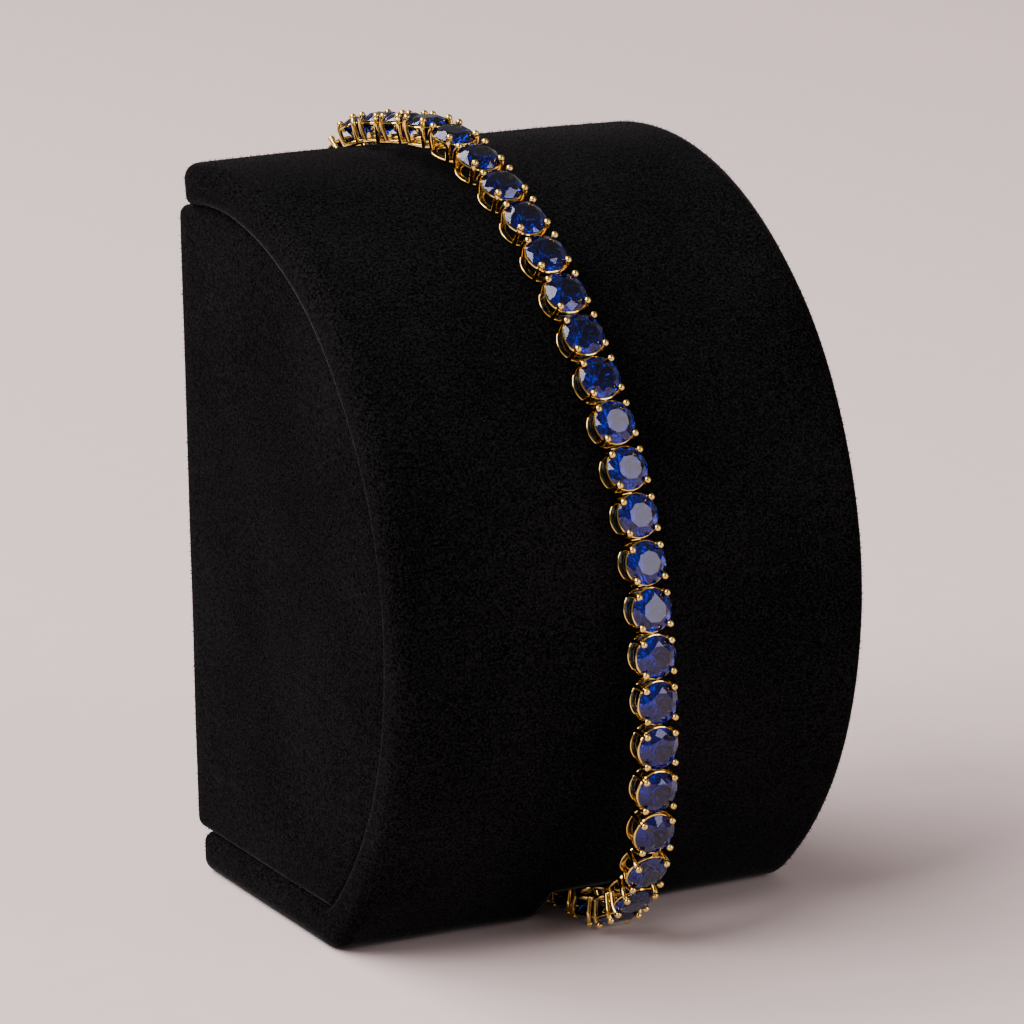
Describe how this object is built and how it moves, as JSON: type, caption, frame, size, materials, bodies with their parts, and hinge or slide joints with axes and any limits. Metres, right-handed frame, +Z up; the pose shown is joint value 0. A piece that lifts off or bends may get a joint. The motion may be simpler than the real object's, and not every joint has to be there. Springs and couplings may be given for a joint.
{
  "type": "tennis bracelet on a display stand",
  "caption": "Tennis bracelet of round blue stones in four-claw yellow gold settings, laid round a half-moon black velvet display stand.",
  "frame": {"origin": "under the middle of the whole, on the surface that the stand rests on", "axes": "+Z up, X along the stand, -Y out of the padded curve that carries the bracelet"},
  "size_m": [0.041, 0.0528, 0.0643],
  "materials": {
    "black_velvet": "napped velvet, near black",
    "yellow_gold": "polished yellow gold",
    "blue_stone": "clear deep blue cut stone"
  },
  "bodies": {
    "root": {"stand_block": "black_velvet", "stand_wrap": "black_velvet", "links_front": "yellow_gold", "links_back": "yellow_gold", "clasp": "yellow_gold", "stone_01": "blue_stone", "stone_02": "blue_stone", "stone_03": "blue_stone", "stone_04": "blue_stone", "stone_05": "blue_stone", "stone_06": "blue_stone", "stone_07": "blue_stone", "stone_08": "blue_stone", "stone_09": "blue_stone", "stone_10": "blue_stone", "stone_11": "blue_stone", "stone_12": "blue_stone", "stone_13": "blue_stone", "stone_14": "blue_stone", "stone_15": "blue_stone", "stone_16": "blue_stone", "stone_17": "blue_stone", "stone_18": "blue_stone", "stone_19": "blue_stone", "stone_20": "blue_stone", "stone_21": "blue_stone", "stone_22": "blue_stone", "stone_23": "blue_stone", "stone_24": "blue_stone", "stone_25": "blue_stone", "stone_26": "blue_stone", "stone_27": "blue_stone", "stone_28": "blue_stone", "stone_29": "blue_stone", "stone_30": "blue_stone", "stone_31": "blue_stone", "stone_32": "blue_stone", "stone_33": "blue_stone", "stone_34": "blue_stone", "stone_35": "blue_stone", "stone_36": "blue_stone", "stone_37": "blue_stone", "stone_38": "blue_stone", "stone_39": "blue_stone", "stone_40": "blue_stone", "stone_41": "blue_stone", "stone_42": "blue_stone", "stone_43": "blue_stone", "stone_44": "blue_stone", "stone_45": "blue_stone", "stone_46": "blue_stone", "stone_47": "blue_stone", "stone_48": "blue_stone"}
  },
  "joints": []
}
